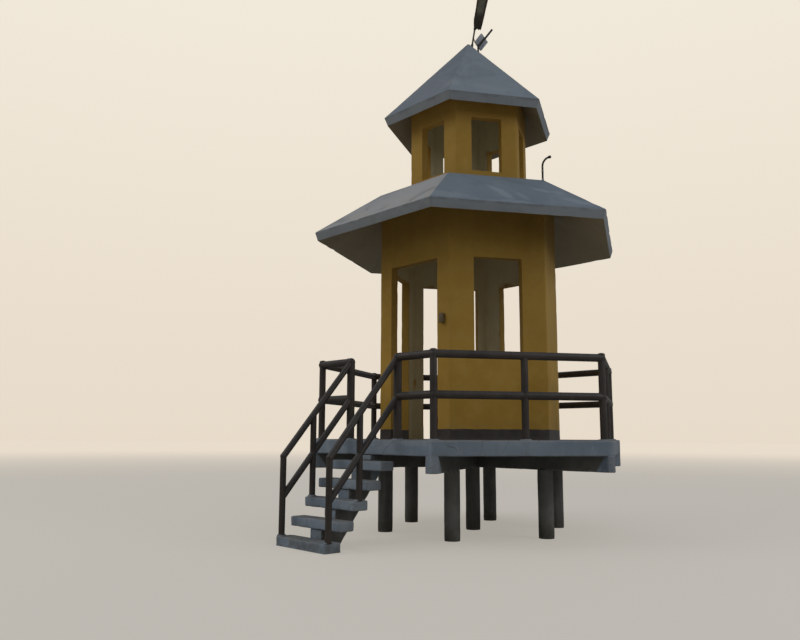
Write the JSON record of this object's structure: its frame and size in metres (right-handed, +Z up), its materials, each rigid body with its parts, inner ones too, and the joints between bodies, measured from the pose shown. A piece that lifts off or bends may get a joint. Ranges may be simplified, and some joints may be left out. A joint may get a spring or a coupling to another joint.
{
  "type": "lifeguard tower",
  "caption": "Hexagonal concrete lifeguard tower on round piers with a railed deck, open room, roof lantern and outside stair.",
  "frame": {"origin": "centre of the bottom face of the centre pier, on the ground", "axes": "+Z up, the stair comes down towards -Y, +X to the right for a person facing the stair"},
  "size_m": [4.456, 4.7895, 8.1119],
  "materials": {
    "ochre_painted_wall": "matt masonry paint on render, weathered",
    "grey_painted_concrete": "matt grey paint on cast concrete, worn and stained",
    "roof_concrete": "rough cast concrete, painted grey, streaked",
    "bare_concrete": "bare cast concrete, damp stained",
    "dark_pipe": "dark brown paint on steel pipe, satin, rust at joints",
    "fittings": "weathered grey metal",
    "flag_cloth": "sun-worn dark cloth, frayed"
  },
  "bodies": {
    "root": {"pier_centre": "bare_concrete", "pier_front_right": "bare_concrete", "pier_right": "bare_concrete", "pier_rear_right": "bare_concrete", "pier_rear_left": "bare_concrete", "pier_left": "bare_concrete", "pier_front_left": "bare_concrete", "deck_beams": "grey_painted_concrete", "deck_slab": "grey_painted_concrete", "stair_pad": "grey_painted_concrete", "stair_spine": "grey_painted_concrete", "tread_1": "grey_painted_concrete", "tread_2": "grey_painted_concrete", "tread_3": "grey_painted_concrete", "tread_4": "grey_painted_concrete", "column_front_right": "ochre_painted_wall", "column_right": "ochre_painted_wall", "column_rear_right": "ochre_painted_wall", "column_rear_left": "ochre_painted_wall", "column_left": "ochre_painted_wall", "column_front_left": "ochre_painted_wall", "sill_wall_right_front": "ochre_painted_wall", "wall_right_rear": "ochre_painted_wall", "sill_wall_rear": "ochre_painted_wall", "kerb_left_front": "ochre_painted_wall", "ring_beam": "ochre_painted_wall", "lower_roof": "roof_concrete", "roof_slab": "roof_concrete", "lantern_sill": "ochre_painted_wall", "lantern_columns": "ochre_painted_wall", "lantern_beam": "ochre_painted_wall", "upper_roof": "roof_concrete", "rail_right_front": "dark_pipe", "rail_right_rear": "dark_pipe", "rail_rear": "dark_pipe", "rail_left_rear": "dark_pipe", "rail_left_front": "dark_pipe", "stair_rail_left": "dark_pipe", "stair_rail_right": "dark_pipe", "roof_conduit": "fittings", "switch_box": "fittings", "flag_pole": "fittings", "flag": "flag_cloth", "floodlight": "fittings"}
  },
  "joints": []
}
